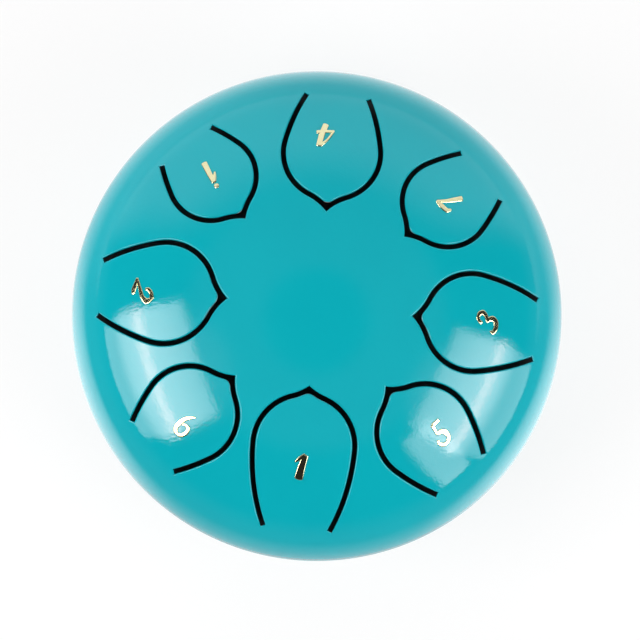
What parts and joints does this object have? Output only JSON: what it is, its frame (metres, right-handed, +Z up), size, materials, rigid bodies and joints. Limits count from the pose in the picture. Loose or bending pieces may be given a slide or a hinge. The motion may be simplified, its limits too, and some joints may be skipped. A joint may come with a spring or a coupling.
{
  "type": "steel tongue drum",
  "caption": "Hollow steel tongue drum: two dished shells welded at the rim, petal-shaped tongues cut round the crown with gold foil numerals, a sound hole below and rubber feet.",
  "frame": {"origin": "on the ground, under the drum's axis", "axes": "+Z up along the drum's axis; -Y to the front, where the longest tongue is; +X to the right of someone sitting in front"},
  "size_m": [0.1523, 0.1522, 0.0825],
  "materials": {
    "turquoise_enamel": "gloss turquoise enamel on steel",
    "gold_foil": "mirror gold foil",
    "black_rubber": "matt black"
  },
  "bodies": {
    "drum_shell": {"upper_shell": "turquoise_enamel", "lower_shell": "turquoise_enamel", "seam_weld": "turquoise_enamel", "foot_front": "black_rubber", "foot_back_right": "black_rubber", "foot_back_left": "black_rubber"},
    "tongue_1": {"tongue_1": "turquoise_enamel", "numeral_1": "gold_foil"},
    "tongue_2": {"tongue_2": "turquoise_enamel", "numeral_2": "gold_foil"},
    "tongue_3": {"tongue_3": "turquoise_enamel", "numeral_3": "gold_foil"},
    "tongue_4": {"tongue_4": "turquoise_enamel", "numeral_4": "gold_foil"},
    "tongue_5": {"tongue_5": "turquoise_enamel", "numeral_5": "gold_foil"},
    "tongue_6": {"tongue_6": "turquoise_enamel", "numeral_6": "gold_foil"},
    "tongue_7": {"tongue_7": "turquoise_enamel", "numeral_7": "gold_foil"},
    "tongue_high_1": {"tongue_high_1": "turquoise_enamel", "numeral_high_1": "gold_foil", "octave_dot": "gold_foil"}
  },
  "joints": [
    {"name": "tongue_1_flex", "type": "hinge", "parent": "drum_shell", "child": "tongue_1", "pos_m": [0, -0.06335, 0.0659], "axis": [-1, 0, 0], "range_deg": [-0.6, 0.6], "stiffness_Nm_per_rad": 59},
    {"name": "tongue_2_flex", "type": "hinge", "parent": "drum_shell", "child": "tongue_2", "pos_m": [-0.06324, 0.00077, 0.06603], "axis": [0.0122, 0.9999, 0], "range_deg": [-0.6, 0.6], "stiffness_Nm_per_rad": 49.3},
    {"name": "tongue_3_flex", "type": "hinge", "parent": "drum_shell", "child": "tongue_3", "pos_m": [0.06366, 0.00056, 0.0657], "axis": [0.0087, -1, 0], "range_deg": [-0.6, 0.6], "stiffness_Nm_per_rad": 54.1},
    {"name": "tongue_4_flex", "type": "hinge", "parent": "drum_shell", "child": "tongue_4", "pos_m": [0.00022, 0.06293, 0.06622], "axis": [1, -0.0035, 0], "range_deg": [-0.6, 0.6], "stiffness_Nm_per_rad": 53.3},
    {"name": "tongue_5_flex", "type": "hinge", "parent": "drum_shell", "child": "tongue_5", "pos_m": [0.0458, -0.04331, 0.06615], "axis": [-0.6871, -0.7266, 0], "range_deg": [-0.6, 0.6], "stiffness_Nm_per_rad": 54.8},
    {"name": "tongue_6_flex", "type": "hinge", "parent": "drum_shell", "child": "tongue_6", "pos_m": [-0.04343, -0.04358, 0.06716], "axis": [-0.7083, 0.7059, 0], "range_deg": [-0.6, 0.6], "stiffness_Nm_per_rad": 54.5},
    {"name": "tongue_7_flex", "type": "hinge", "parent": "drum_shell", "child": "tongue_7", "pos_m": [0.04377, 0.04332, 0.06714], "axis": [0.7034, -0.7108, 0], "range_deg": [-0.6, 0.6], "stiffness_Nm_per_rad": 50.6},
    {"name": "tongue_high_1_flex", "type": "hinge", "parent": "drum_shell", "child": "tongue_high_1", "pos_m": [-0.04219, 0.044, 0.06753], "axis": [0.7217, 0.6922, 0], "range_deg": [-0.6, 0.6], "stiffness_Nm_per_rad": 49.1}
  ]
}
